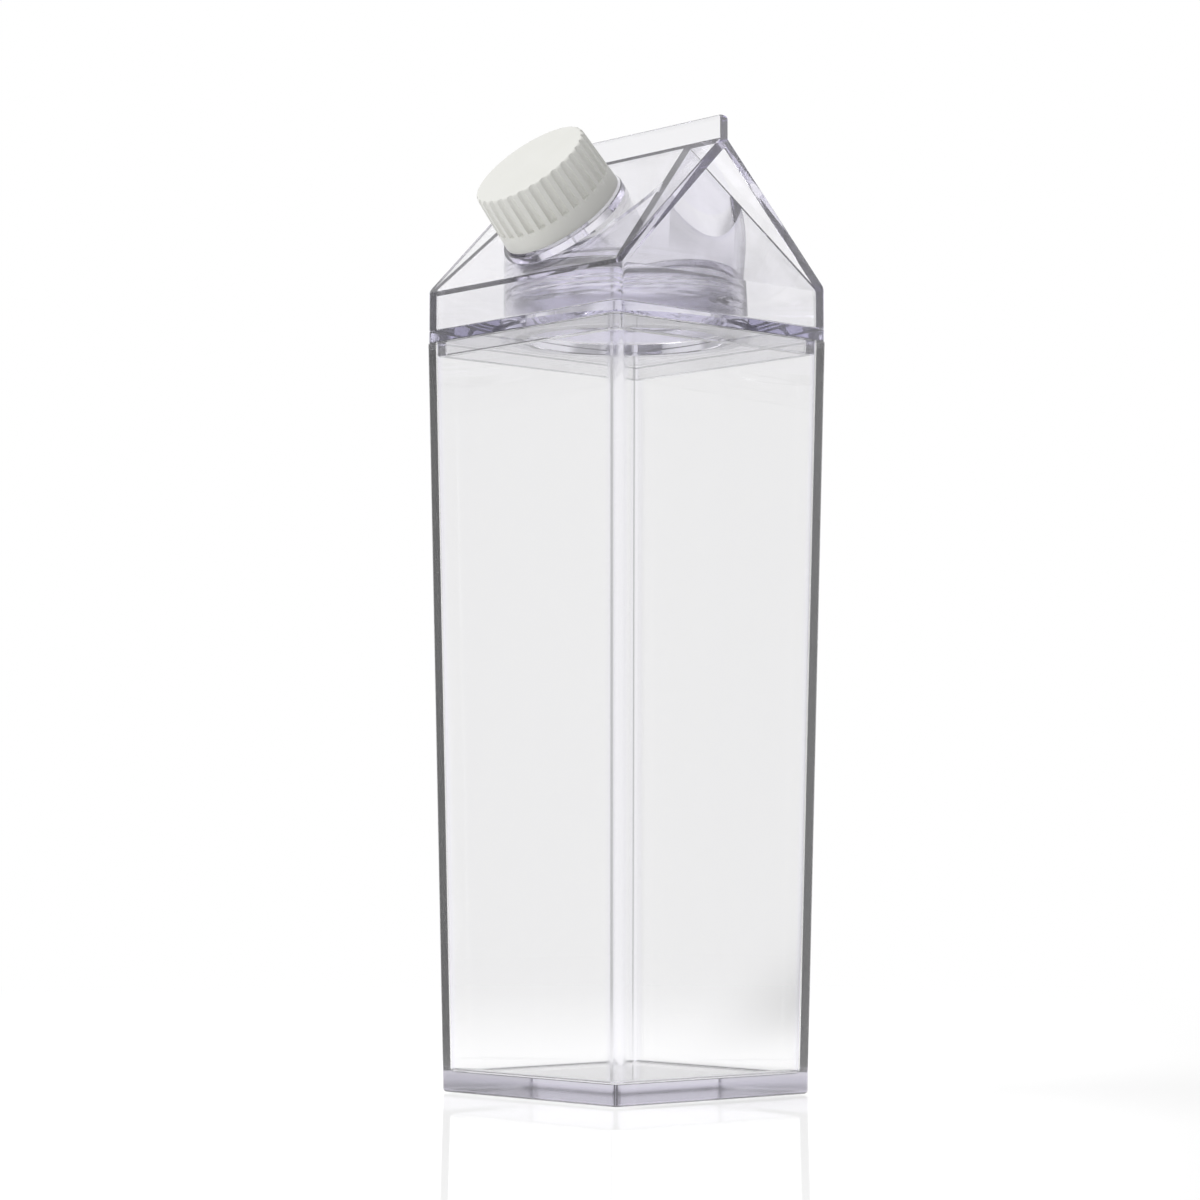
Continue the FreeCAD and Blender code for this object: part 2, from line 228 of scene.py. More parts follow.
def box_half(height):
    """Half the box's side at a height. It widens upward, so that the box leaves its mould."""
    return foot_half + (rim_half - foot_half) * height / rim


box_top = rim - JOINT_GAP
floor_half = box_half(BOX_FLOOR) - BOX_WALL
rim_inner = rim_half - BOX_WALL
outer_section = arc(foot_half - FOOT_ROUND, FOOT_ROUND, FOOT_ROUND, -90, 0, ROUND_STEPS)
outer_section += arc(rim_half - RIM_ROUND, box_top - RIM_ROUND, RIM_ROUND, 0, 90, EDGE_STEPS)
outer_rings = [square_ring(half, BOX_CORNER - (box_half(up) - half), up) for half, up in outer_section]
inner_section = arc(rim_inner + RIM_ROUND, box_top - RIM_ROUND, RIM_ROUND, 90, 180, EDGE_STEPS)
inner_section += arc(
    floor_half - BOX_INNER_CORNER, BOX_FLOOR + BOX_INNER_CORNER, BOX_INNER_CORNER, 0, -90, ROUND_STEPS)
inner_rings = []
for half, up in inner_section:
    wall_half = box_half(up) - BOX_WALL
    inner_rings.append(square_ring(half, BOX_INNER_CORNER - (wall_half - half), up))
clear_box = skin("clear_box", outer_rings + inner_rings)
finish_mesh(clear_box)


def box_satin(tree, place):
    """The foot is satin, up to the floor. So are the cavity's upright corners, where the mould's
    core can't be polished well."""
    split = add(tree, "ShaderNodeSeparateXYZ", links={0: place})
    x = add(tree, "ShaderNodeMath", links={0: split.outputs["X"]}, operation="ABSOLUTE")
    y = add(tree, "ShaderNodeMath", links={0: split.outputs["Y"]}, operation="ABSOLUTE")
    half = add(
        tree, "ShaderNodeMath", {1: (rim_half - foot_half) / rim, 2: foot_half * MM},
        {0: split.outputs["Z"]}, operation="MULTIPLY_ADD")
    both = add(tree, "ShaderNodeMath", links={0: x.outputs[0], 1: y.outputs[0]}, operation="ADD")
    most = add(tree, "ShaderNodeMath", links={0: x.outputs[0], 1: y.outputs[0]}, operation="MAXIMUM")
    along = add(
        tree, "ShaderNodeMath", {1: -2.0}, {0: half.outputs[0], 2: both.outputs[0]},
        operation="MULTIPLY_ADD")
    inward = add(tree, "ShaderNodeMath", links={0: half.outputs[0], 1: most.outputs[0]}, operation="SUBTRACT")
    ramps = []
    for source, start, end in (
            (split.outputs["Z"], BOX_FLOOR - SATIN_EDGE, BOX_FLOOR - 2 * SATIN_EDGE),
            (along.outputs[0], -(2 * BOX_WALL + SATIN_REACH), -(2 * BOX_WALL + SATIN_REACH / 3)),
            (inward.outputs[0], 0.5 * BOX_WALL, 0.9 * BOX_WALL)):
        ramps.append(add(
            tree, "ShaderNodeMapRange", {"From Min": start * MM, "From Max": end * MM}, {"Value": source},
            interpolation_type="SMOOTHSTEP"))
    foot, near_corner, near_cavity = [ramp.outputs["Result"] for ramp in ramps]
    corner = add(tree, "ShaderNodeMath", links={0: near_corner, 1: near_cavity}, operation="MULTIPLY")
    zone = add(tree, "ShaderNodeMath", links={0: foot, 1: corner.outputs[0]}, operation="MAXIMUM")
    return zone.outputs[0]


box_plastic = clear_plastic(
    "moulded_clear_san_box", BOX_TINT, BOX_DENSITY, BOX_ALPHA, ripple=30, ripple_height=0.012,
    satin_zone=box_satin)
dress(clear_box, box_plastic, "box_clear", "body_box")

# ---------------------------------------------------------------------------------------------
# Shoulder: a square plate that plugs into the box, with a threaded neck on it. Both are one
# moulding of the same clear SAN, pressed into the box's rim and bonded there.
# ---------------------------------------------------------------------------------------------
PLUG_CLEARANCE = 0.2
PLUG_WALL = 2.0
MOUTH_RADIUS = 21.7
NECK_WALL = 2.5
NECK_LIP = 0.7
EDGE = 0.25
THREAD_PITCH = 4.0
THREAD_RISE = 6.0
THREAD_ROOT = 2.0
THREAD_CREST = 0.8
THREAD_DEPTH = 1.2
THREAD_START = 1.6
THREAD_RUN_OUT = 18.0
THREAD_ROW = 0.25
NECK_SATIN_START = 0.1
NECK_SATIN_END = 0.8
SHOULDER_TINT = "#7D6CC0"
SHOULDER_DENSITY = 15.0
SHOULDER_ALPHA = 0.93


def round_ring(radius, height, outline=None):
    """Points round a circle, in step with square_ring. outline adds to the radius at an angle."""
    points = []
    for index in range(RING_POINTS):
        degrees = 45 + 360 * (index - CORNER_STEPS / 2) / RING_POINTS
        reach = radius + (outline(degrees % 360, height) if outline else 0)
        angle = math.radians(degrees)
        points.append(Vector((reach * math.cos(angle), reach * math.sin(angle), height)))
    return points


def thread(start, side):
    """A single right-hand thread on a round wall, outward for a side of 1, inward for -1."""
    def outline(degrees, height):
        """How far the thread stands off the wall at an angle and a height."""
        tallest = 0.0
        total = 360 * THREAD_RISE / THREAD_PITCH
        for lap in range(math.ceil(total / 360)):
            along = degrees + 360 * lap
            if along > total:
                continue
            middle = start + THREAD_ROOT / 2 + THREAD_PITCH * along / 360
            slope = (THREAD_ROOT / 2 - abs(height - middle)) / ((THREAD_ROOT - THREAD_CREST) / 2)
            end = min(along, total - along) / THREAD_RUN_OUT
            tallest = max(tallest, min(1, max(0, slope)) * min(1, end))
        return side * THREAD_DEPTH * tallest
    return outline


def threaded_rings(radius, low, high, outline):
    """Rings up a threaded wall, close enough to follow the thread."""
    rows = round((high - low) / THREAD_ROW)
    return [round_ring(radius, low + (high - low) * row / rows, outline) for row in range(rows + 1)]


def neck_satin(tree, place):
    """The neck and its thread are satin, above the polished plate."""
    split = add(tree, "ShaderNodeSeparateXYZ", links={0: place})
    ramp = add(
        tree, "ShaderNodeMapRange",
        {"From Min": (plate_top + NECK_SATIN_START) * MM, "From Max": (plate_top + NECK_SATIN_END) * MM},
        {"Value": split.outputs["Z"]}, interpolation_type="SMOOTHSTEP")
    return ramp.outputs["Result"]


plate_low, plate_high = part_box("shoulder_plate")
plug_bottom = plate_low.z / MM
plate_top = plate_high.z / MM
plate_half = plate_high.x / MM
neck_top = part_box("neck")[1].z / MM
neck_outside = MOUTH_RADIUS + NECK_WALL
plug_outside = rim_half - BOX_WALL - PLUG_CLEARANCE
plug_inside = plug_outside - PLUG_WALL
shoulder_rings = [
    square_ring(plug_inside, BOX_INNER_CORNER, plug_bottom),
    square_ring(plug_outside - EDGE, BOX_INNER_CORNER, plug_bottom),
    square_ring(plug_outside, BOX_INNER_CORNER, plug_bottom + EDGE),
    square_ring(plug_outside, BOX_INNER_CORNER, rim),
]
plate_section = arc(plate_half - EDGE, rim + EDGE, EDGE, -90, 0, EDGE_STEPS)
plate_section += arc(plate_half - EDGE, plate_top - EDGE, EDGE, 0, 90, EDGE_STEPS)
shoulder_rings += [square_ring(half, BOX_CORNER - (plate_half - half), up) for half, up in plate_section]
shoulder_rings += [round_ring(neck_outside + EDGE, plate_top)]
shoulder_rings += threaded_rings(
    neck_outside, plate_top + EDGE, neck_top - NECK_LIP, thread(plate_top + THREAD_START, 1))
lip_section = arc(neck_outside - NECK_LIP, neck_top - NECK_LIP, NECK_LIP, 0, 90, ROUND_STEPS)
shoulder_rings += [round_ring(radius, up) for radius, up in lip_section[1:]]
shoulder_rings += [
    round_ring(MOUTH_RADIUS + EDGE, neck_top),
    round_ring(MOUTH_RADIUS, neck_top - EDGE),
    round_ring(MOUTH_RADIUS, rim + EDGE),
    round_ring(MOUTH_RADIUS + EDGE, rim),
    square_ring(plug_inside, BOX_INNER_CORNER, rim),
]
clear_shoulder = skin("clear_shoulder", shoulder_rings, closed=True)
finish_mesh(clear_shoulder)
shoulder_plastic = clear_plastic(
    "moulded_clear_san_shoulder", SHOULDER_TINT, SHOULDER_DENSITY, SHOULDER_ALPHA, ripple=25,
    ripple_height=0.015, satin_zone=neck_satin)
dress(clear_shoulder, shoulder_plastic, "shoulder_clear", "shoulder_plate", "neck")

# ---------------------------------------------------------------------------------------------
# Seal: a flat ring of translucent white silicone, moulded and pressed on the neck's lip, where
# the ledge inside the roof squeezes it.
# ---------------------------------------------------------------------------------------------
SEAL_WIDTH = 2.2
SEAL_CLOUD = 4
SEAL_GRAIN = 0.3
SEAL_GRAIN_HEIGHT = 0.02

seal_low, seal_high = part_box("neck_seal")
seal_bottom = seal_low.z / MM + JOINT_GAP + EDGE
seal_top = seal_high.z / MM - JOINT_GAP - EDGE
seal_inner = MOUTH_RADIUS + EDGE
seal_outer = MOUTH_RADIUS + SEAL_WIDTH - EDGE
seal_section = arc(seal_outer, seal_bottom, EDGE, -90, 0, EDGE_STEPS)
seal_section += arc(seal_outer, seal_top, EDGE, 0, 90, EDGE_STEPS)
seal_section += arc(seal_inner, seal_top, EDGE, 90, 180, EDGE_STEPS)
seal_section += arc(seal_inner, seal_bottom, EDGE, 180, 270, EDGE_STEPS)
seal_rings = [round_ring(radius, up) for radius, up in seal_section]
silicone_seal = skin("silicone_seal", seal_rings, closed=True)
finish_mesh(silicone_seal, sharp_degrees=60)

# Moulded silicone: milky and a little see-through, clouded inside, with a soft sheen. Its grain is
# finer than this, and is drawn this coarse so that it shows.
silicone, tree, place = empty_material("moulded_white_silicone")
cloud = add(
    tree, "ShaderNodeTexNoise",
    {"Scale": 1 / (SEAL_CLOUD * MM), "Detail": 3.0, "Roughness": 0.5},
    {"Vector": place})
shade = add(
    tree, "ShaderNodeMix",
    {6: to_linear("#E2E1E4"), 7: to_linear("#F3F2F1")},
    {"Factor": cloud.outputs["Fac"]}, data_type="RGBA")
grain = add(
    tree, "ShaderNodeTexNoise",
    {"Scale": 1 / (SEAL_GRAIN * MM), "Detail": 2.0},
    {"Vector": place})
bump = add(
    tree, "ShaderNodeBump",
    {"Strength": 0.3, "Distance": SEAL_GRAIN_HEIGHT * MM},
    {"Height": grain.outputs["Fac"]})
surface = add(
    tree, "ShaderNodeBsdfPrincipled",
    {"Roughness": 0.45, "IOR": 1.41, "Transmission Weight": 0.35},
    {"Base Color": shade.outputs[2], "Normal": bump.outputs["Normal"]})
add(tree, "ShaderNodeOutputMaterial", links={"Surface": surface.outputs["BSDF"]})
dress(silicone_seal, silicone, "seal_soft", "neck_seal")

# ---------------------------------------------------------------------------------------------
# Gable top: a hollow roof with folded-in gable ends and a flat fin on its ridge. The sleeve that
# screws on the neck and the spout are part of the same moulding, of clear SAN.
# ---------------------------------------------------------------------------------------------
ROOF_ANGLE = math.radians(44.5)
EAVE_RISE = 9.0
ROOF_WALL = 2.0
FIN_THICKNESS = 2.4
FIN_CORNER = 2.0
FOLD_INSET = 10.0
SLOPE_EDGE = 2.4
NOTCH_OVERRUN = 1.4
BEND_STEPS = 8
ROOF_EDGE = 0.3
OVERRUN = 3.0
SLEEVE_GAP = 1.6
SLEEVE_WALL = 1.9
LEDGE = 1.5
SPOUT_UP_SLOPE = 20.5
SPOUT_BORE = 10.0
SPOUT_WALL = 2.0
SPOUT_RISE = 14.9
COLLAR_RADIUS = 15.6
COLLAR_HEIGHT = 1.8
TURNED_STEPS = 160
NEAR = 0.01
ROOF_INNER_CORNER = 1.2
ROOF_TINT = "#8D55EC"
ROOF_DENSITY = 9.0
ROOF_ALPHA = 0.945

roof_low, roof_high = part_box("gable_roof")
house_half = roof_high.x / MM
house_bottom = roof_low.z / MM + JOINT_GAP
fin_top = roof_high.z / MM
eave = roof_low.z / MM + EAVE_RISE
apex = eave + house_half * math.tan(ROOF_ANGLE)
half_fin = FIN_THICKNESS / 2
fin_foot = apex - half_fin * math.tan(ROOF_ANGLE)
sleeve_inside = neck_outside + SLEEVE_GAP
sleeve_outside = sleeve_inside + SLEEVE_WALL


def sleeve_satin(tree, place):
    """The sleeve is satin too: what lies within its radius and lower than the polished slopes."""
    split = add(tree, "ShaderNodeSeparateXYZ", links={0: place})
    flat = add(tree, "ShaderNodeVectorMath", {1: (1, 1, 0)}, {0: place}, operation="MULTIPLY")
    radius = add(tree, "ShaderNodeVectorMath", links={0: flat.outputs["Vector"]}, operation="LENGTH")
    across = add(tree, "ShaderNodeMath", links={0: split.outputs["Y"]}, operation="ABSOLUTE")
    slope = add(
        tree, "ShaderNodeMath", {1: math.tan(ROOF_ANGLE)},
        {0: across.outputs[0], 2: split.outputs["Z"]}, operation="MULTIPLY_ADD")
    fade = SATIN_EDGE / 2
    slope_inside = apex - (ROOF_WALL + fade) / math.cos(ROOF_ANGLE)
    ramps = []
    for source, start, end in (
            (radius.outputs["Value"], sleeve_outside + 2 * fade, sleeve_outside + fade),
            (slope.outputs[0], slope_inside, slope_inside - fade)):
        ramps.append(add(
            tree, "ShaderNodeMapRange", {"From Min": start * MM, "From Max": end * MM}, {"Value": source},
            interpolation_type="SMOOTHSTEP"))
    within, below = [ramp.outputs["Result"] for ramp in ramps]
    both = add(tree, "ShaderNodeMath", links={0: within, 1: below}, operation="MULTIPLY")
    return both.outputs[0]


def prism(name, section, half_length):
    """A closed section in Y and Z, drawn out along X."""
    mesh = bmesh.new()
    ends = [[mesh.verts.new((x, y, z)) for y, z in section] for x in (-half_length, half_length)]
    for index in range(len(section)):
        after = (index + 1) % len(section)
        mesh.faces.new((ends[0][index], ends[0][after], ends[1][after], ends[1][index]))
    mesh.faces.new(ends[0])
    mesh.faces.new(ends[1])
    return as_object(name, mesh)


def house_section(inset):
    """The house's section, smaller by an inset at its walls and slopes, and longer below."""
    half = house_half - inset
    low = house_bottom - OVERRUN
    low_eave = eave + inset * math.tan(ROOF_ANGLE) - inset / math.cos(ROOF_ANGLE)
    low_apex = low_eave + half * math.tan(ROOF_ANGLE)
    return [(-half, low), (half, low), (half, low_eave), (0, low_apex), (-half, low_eave)]


def notch(grown):
    """The two notches under the slopes' ends, over the leaning gable walls, larger by a wall where
    they cut the hollow. Their open side runs past the house."""
    foot = house_half - SLOPE_EDGE / math.sin(ROOF_ANGLE)
    ridge = apex - SLOPE_EDGE / math.cos(ROOF_ANGLE)
    corners = [Vector((house_half, -foot, eave)), Vector((house_half, foot, eave)),
               Vector((house_half, 0, ridge)), Vector((house_half - FOLD_INSET, 0, ridge))]
    sides = [(0, 1, 2), (0, 1, 3), (0, 2, 3), (1, 2, 3)]
    areas = [(corners[b] - corners[a]).cross(corners[c] - corners[a]).length / 2 for a, b, c in sides]
    across = (corners[1] - corners[0]).cross(corners[2] - corners[0])
    volume = abs(across.dot(corners[3] - corners[0])) / 6
    opposite = [corners[3], corners[2], corners[1], corners[0]]
    centre = sum((corner * area for corner, area in zip(opposite, areas)), Vector()) / sum(areas)
    radius = 3 * volume / sum(areas)
    moved = [centre + (corner - centre) * (radius + grown) / radius for corner in corners]
    tip = moved[3]
    moved = [tip + (corner - tip) * NOTCH_OVERRUN for corner in moved[:3]] + [tip]
    mesh = bmesh.new()
    for side in (1, -1):
        vertices = [mesh.verts.new((side * corner.x, corner.y, corner.z)) for corner in moved]
        for a, b, c in sides:
            mesh.faces.new((vertices[a], vertices[b], vertices[c]))
    return as_object("notch", mesh)


def turned(name, section):
    """A section turned about Z, whose two ends lie on the axis and close it."""
    mesh = bmesh.new()
    angles = [math.tau * step / TURNED_STEPS for step in range(TURNED_STEPS)]
    rows = []
    for radius, up in section:
        if radius == 0:
            rows.append([mesh.verts.new((0, 0, up))] * TURNED_STEPS)
            continue
        rows.append([mesh.verts.new((radius * math.cos(a), radius * math.sin(a), up)) for a in angles])
    for low, high in zip(rows, rows[1:]):
        for index in range(TURNED_STEPS):
            after = (index + 1) % TURNED_STEPS
            corners = [low[index], low[after], high[after], high[index]]
            mesh.faces.new(list(dict.fromkeys(corners)))
    return as_object(name, mesh)


def combine(piece, operation, tool):
    """Cut, join or meet two solids exactly. The tool is used up."""
    modifier = piece.modifiers.new(operation, "BOOLEAN")
    modifier.operation = operation
    modifier.solver = "EXACT"
    modifier.object = tool
    bake(piece)
    bpy.data.objects.remove(tool)


def round_edges(piece, radius, is_chosen):
    """Round the edges that a test picks out."""
    mesh = bmesh.new()
    mesh.from_mesh(piece.data)
    chosen = [edge for edge in mesh.edges if is_chosen(edge)]
    bmesh.ops.bevel(
        mesh, geom=chosen, offset=radius, offset_type="OFFSET", segments=BEND_STEPS, profile=0.5,
        affect="EDGES", clamp_overlap=True)
    mesh.to_mesh(piece.data)
    mesh.free()


def is_wall_corner(edge):
    """An upright edge that reaches no higher than the eaves."""
    one, other = [vertex.co for vertex in edge.verts]
    return (one - other).xy.length < NEAR and max(one.z, other.z) < eave + NEAR


def is_fin_end(edge):
    """The top edge at either end of the fin."""
    ends = [vertex.co for vertex in edge.verts]
    return all(abs(end.z - fin_top) < NEAR and abs(abs(end.x) - house_half) < NEAR for end in ends)


house_outline = [
    (-house_half, house_bottom), (house_half, house_bottom), (house_half, eave), (half_fin, fin_foot),
    (half_fin, fin_top), (-half_fin, fin_top), (-half_fin, fin_foot), (-house_half, eave)]
clear_roof = prism("clear_roof", house_outline, house_half)
round_edges(clear_roof, BOX_CORNER, is_wall_corner)
round_edges(clear_roof, FIN_CORNER, is_fin_end)
combine(clear_roof, "DIFFERENCE", notch(0))
soften = clear_roof.modifiers.new("edges", "BEVEL")
soften.width = ROOF_EDGE
soften.segments = EDGE_STEPS
soften.limit_method = "ANGLE"
soften.angle_limit = math.radians(25)
soften.use_clamp_overlap = True
bake(clear_roof)

hollow = prism("hollow", house_section(ROOF_WALL), house_half - ROOF_WALL)
round_edges(hollow, ROOF_INNER_CORNER, is_wall_corner)
combine(hollow, "DIFFERENCE", notch(ROOF_WALL))
combine(clear_roof, "DIFFERENCE", hollow)

ledge_bottom = seal_high.z / MM
ledge_top = ledge_bottom + LEDGE
sleeve_thread = thread(plate_top + THREAD_START + THREAD_PITCH / 2, -1)
sleeve_rings = [
    round_ring(sleeve_outside, apex),
    round_ring(sleeve_outside, house_bottom),
    round_ring(sleeve_inside + EDGE, house_bottom)]
sleeve_rings += threaded_rings(sleeve_inside, house_bottom + EDGE, ledge_bottom - EDGE, sleeve_thread)
sleeve_rings += [
    round_ring(sleeve_inside - EDGE, ledge_bottom),
    round_ring(MOUTH_RADIUS + EDGE, ledge_bottom),
    round_ring(MOUTH_RADIUS, ledge_bottom + EDGE),
    round_ring(MOUTH_RADIUS, ledge_top - EDGE),
    round_ring(MOUTH_RADIUS + EDGE, ledge_top),
    round_ring(sleeve_inside - EDGE, ledge_top),
    round_ring(sleeve_inside, ledge_top + EDGE),
    round_ring(sleeve_inside, apex)]
sleeve = skin("sleeve", sleeve_rings, closed=True)
mid_wall = ROOF_WALL / 2
to_mid_wall = prism("to_mid_wall", house_section(mid_wall), house_half - mid_wall)
combine(to_mid_wall, "DIFFERENCE", notch(mid_wall))
combine(sleeve, "INTERSECT", to_mid_wall)
combine(clear_roof, "UNION", sleeve)

spout_y = SPOUT_UP_SLOPE * math.cos(ROOF_ANGLE) - house_half
spout_z = eave + SPOUT_UP_SLOPE * math.sin(ROOF_ANGLE)
on_slope = Matrix.Translation((0, spout_y, spout_z)) @ Matrix.Rotation(ROOF_ANGLE, 4, "X")
spout_outside = SPOUT_BORE + SPOUT_WALL
spout_section = [(0, -mid_wall), (COLLAR_RADIUS, -mid_wall)]
spout_section += arc(COLLAR_RADIUS - EDGE, COLLAR_HEIGHT - EDGE, EDGE, 0, 90, EDGE_STEPS)
spout_section += [(spout_outside + EDGE, COLLAR_HEIGHT), (spout_outside, COLLAR_HEIGHT + EDGE)]
spout_section += arc(spout_outside - EDGE, SPOUT_RISE - EDGE, EDGE, 0, 90, EDGE_STEPS)
spout_section += [(0, SPOUT_RISE)]
spout = turned("spout", spout_section)
spout.data.transform(on_slope)
combine(clear_roof, "UNION", spout)
bore_low = -2 * ROOF_WALL
bore_high = SPOUT_RISE + ROOF_WALL
bore = turned("bore", [(0, bore_low), (SPOUT_BORE, bore_low), (SPOUT_BORE, bore_high), (0, bore_high)])
bore.data.transform(on_slope)
combine(clear_roof, "DIFFERENCE", bore)
finish_mesh(clear_roof)
roof_plastic = clear_plastic(
    "moulded_clear_san_roof", ROOF_TINT, ROOF_DENSITY, ROOF_ALPHA, ripple=25, ripple_height=0.015,
    satin_zone=sleeve_satin)
dress(clear_roof, roof_plastic, "roof_clear", "gable_roof", "roof_sleeve", "spout")

# ---------------------------------------------------------------------------------------------
# Screw cap: off-white polypropylene with a fine satin grain. Its grooves run from the top edge
# down to small ledges, above a plain skirt. One 12-degree sector is modelled and repeated.
# ---------------------------------------------------------------------------------------------
CAP_GAP = 0.5
CAP_HEIGHT = 14.4
CAP_BASE_RADIUS = 15.05
CAP_TOP_RADIUS = 14.35
CAP_CLEARANCE = 0.4
CAP_TOP_THICKNESS = 1.6
CAP_TOP_RINGS = (12.85, 8.0, 0)
CAP_EDGE = 0.7
CAP_SKIRT = 4.5
CAP_GROOVES = 30
GROOVE_RADIUS = 0.85
GROOVE_DEPTH = 0.55
GROOVE_LEDGE = 0.3
GROOVE_BLEND = 0.18
LEDGE_STEPS = 6
RIB_START = 1.0
WALL_STEPS = 8
SECTOR_STEPS = 20
POLE_WELD = 0.0001
SEAM_WELD = 0.002
CAP_FLOW = 9
CAP_GRAIN = 0.25
CAP_GRAIN_HEIGHT = 0.02

cap_low = COLLAR_HEIGHT + CAP_GAP
cap_top = cap_low + CAP_HEIGHT
cap_inside = spout_outside + CAP_CLEARANCE
skirt_top = cap_low + CAP_SKIRT
ribs_low = skirt_top + RIB_START
ribs_high = cap_top - CAP_EDGE
sector = 360 / CAP_GROOVES


def cap_wall(up):
    """The radius of the plain tapered wall."""
    return CAP_BASE_RADIUS - (CAP_BASE_RADIUS - CAP_TOP_RADIUS) * (up - cap_low) / CAP_HEIGHT


def soft_min(a, b, blend):
    """The lesser of two, rounded where they cross."""
    mixed = max(blend - abs(a - b), 0) / blend
    return min(a, b) - mixed * mixed * blend / 4


def cap_radius(up, reach, turned_by):
    """The cap's outside at a height, where its plain outside would be at reach."""
    aside = reach * math.sin(math.radians(turned_by))
    centre = CAP_TOP_RADIUS - GROOVE_DEPTH + GROOVE_RADIUS
    if abs(aside) >= GROOVE_RADIUS:
        return reach
    groove = centre - math.sqrt(GROOVE_RADIUS ** 2 - aside ** 2)
    lift = min(1, max(0, (up - skirt_top) / GROOVE_LEDGE + 0.5))
    lift = lift * lift * (3 - 2 * lift)
    return reach + (soft_min(reach, groove, GROOVE_BLEND) - reach) * lift


cap_section = arc(cap_inside + EDGE, cap_low + EDGE, EDGE, 180, 270, 2)
cap_section += arc(CAP_BASE_RADIUS - EDGE, cap_low + EDGE, EDGE, -90, 0, EDGE_STEPS)
heights = [cap_low + CAP_SKIRT * step / 3 for step in (1, 2)]
heights += [skirt_top + GROOVE_LEDGE * (step / LEDGE_STEPS - 0.5) for step in range(LEDGE_STEPS + 1)]
heights += [ribs_low + (ribs_high - ribs_low) * step / WALL_STEPS for step in range(WALL_STEPS)]
cap_section += [(cap_wall(up), up) for up in heights]
top_flat = CAP_TOP_RADIUS - CAP_EDGE
cap_section += arc(top_flat, ribs_high, CAP_EDGE, 0, 90, BEND_STEPS)
cap_section += [(radius, cap_top) for radius in CAP_TOP_RINGS]
ceiling = cap_top - CAP_TOP_THICKNESS
cap_section += [(0, ceiling), (cap_inside - EDGE, ceiling), (cap_inside, ceiling - EDGE)]

wedge = bmesh.new()
columns = []
for step in range(SECTOR_STEPS + 1):
    turned_by = sector * (step / SECTOR_STEPS - 0.5)
    angle = math.radians(turned_by)
    column = []
    for reach, up in cap_section:
        outside = up > cap_low + EDGE + NEAR and reach > top_flat - NEAR
        radius = cap_radius(up, reach, turned_by) if outside else reach
        column.append(wedge.verts.new((radius * math.cos(angle), radius * math.sin(angle), up)))
    columns.append(column)
for left, right in zip(columns, columns[1:]):
    for index in range(len(cap_section)):
        after = (index + 1) % len(cap_section)
        if cap_section[index][0] == 0 and cap_section[after][0] == 0:
            continue
        wedge.faces.new((left[index], right[index], right[after], left[after]))
bmesh.ops.remove_doubles(wedge, verts=wedge.verts, dist=POLE_WELD)
cap_sector = as_object("cap_sector", wedge)

ring = bpy.data.node_groups.new("sectors_round_an_axis", "GeometryNodeTree")
ring.interface.new_socket("Sector", in_out="INPUT", socket_type="NodeSocketObject")
ring.interface.new_socket("Count", in_out="INPUT", socket_type="NodeSocketInt")
ring.interface.new_socket("Weld distance", in_out="INPUT", socket_type="NodeSocketFloat")
ring.interface.new_socket("Material", in_out="INPUT", socket_type="NodeSocketMaterial")
ring.interface.new_socket("Mesh", in_out="OUTPUT", socket_type="NodeSocketGeometry")
entry = add(ring, "NodeGroupInput")
sector_mesh = add(ring, "GeometryNodeObjectInfo", links={"Object": entry.outputs["Sector"]})
places = add(ring, "GeometryNodePoints", links={"Count": entry.outputs["Count"]})
number = add(ring, "GeometryNodeInputIndex")
part = add(
    ring, "ShaderNodeMath", links={0: number.outputs["Index"], 1: entry.outputs["Count"]},
    operation="DIVIDE")
angle = add(ring, "ShaderNodeMath", {1: math.tau}, {0: part.outputs["Value"]}, operation="MULTIPLY")
turn = add(ring, "ShaderNodeCombineXYZ", links={"Z": angle.outputs["Value"]})
copies = add(
    ring, "GeometryNodeInstanceOnPoints",
    links={
        "Points": places.outputs["Points"],
        "Instance": sector_mesh.outputs["Geometry"],
        "Rotation": turn.outputs["Vector"]})
real = add(ring, "GeometryNodeRealizeInstances", links={"Geometry": copies.outputs["Instances"]})
weld = add(
    ring, "GeometryNodeMergeByDistance",
    links={"Geometry": real.outputs["Geometry"], "Distance": entry.outputs["Weld distance"]})
painted = add(
    ring, "GeometryNodeSetMaterial",
    links={"Geometry": weld.outputs["Geometry"], "Material": entry.outputs["Material"]})
add(ring, "NodeGroupOutput", links={"Mesh": painted.outputs["Geometry"]})

# Moulded polypropylene: waxy and off-white, its shade and gloss a little uneven where the melt
# flowed, over a fine satin grain. The grain is drawn coarser than it is, so that it shows.
satin, tree, place = empty_material("moulded_off_white_polypropylene")
flow = add(
    tree, "ShaderNodeTexNoise",
    {"Scale": 1 / (CAP_FLOW * MM), "Detail": 2.0, "Roughness": 0.5},
    {"Vector": place})
shade = add(
    tree, "ShaderNodeMix",
    {6: to_linear("#E0E0DA"), 7: to_linear("#E8E8E4")},
    {"Factor": flow.outputs["Fac"]}, data_type="RGBA")
gloss = add(
    tree, "ShaderNodeMapRange",
    {"From Min": 0.3, "From Max": 0.7, "To Min": 0.36, "To Max": 0.46},
    {"Value": flow.outputs["Fac"]})
grain = add(
    tree, "ShaderNodeTexNoise",
    {"Scale": 1 / (CAP_GRAIN * MM), "Detail": 3.0, "Roughness": 0.6},
    {"Vector": place})
bump = add(
    tree, "ShaderNodeBump",
    {"Strength": 0.35, "Distance": CAP_GRAIN_HEIGHT * MM},
    {"Height": grain.outputs["Fac"]})
surface = add(
    tree, "ShaderNodeBsdfPrincipled",
    {"IOR": 1.49, "Specular IOR Level": 0.5},
    {
        "Base Color": shade.outputs[2],
        "Roughness": gloss.outputs["Result"],
        "Normal": bump.outputs["Normal"]})
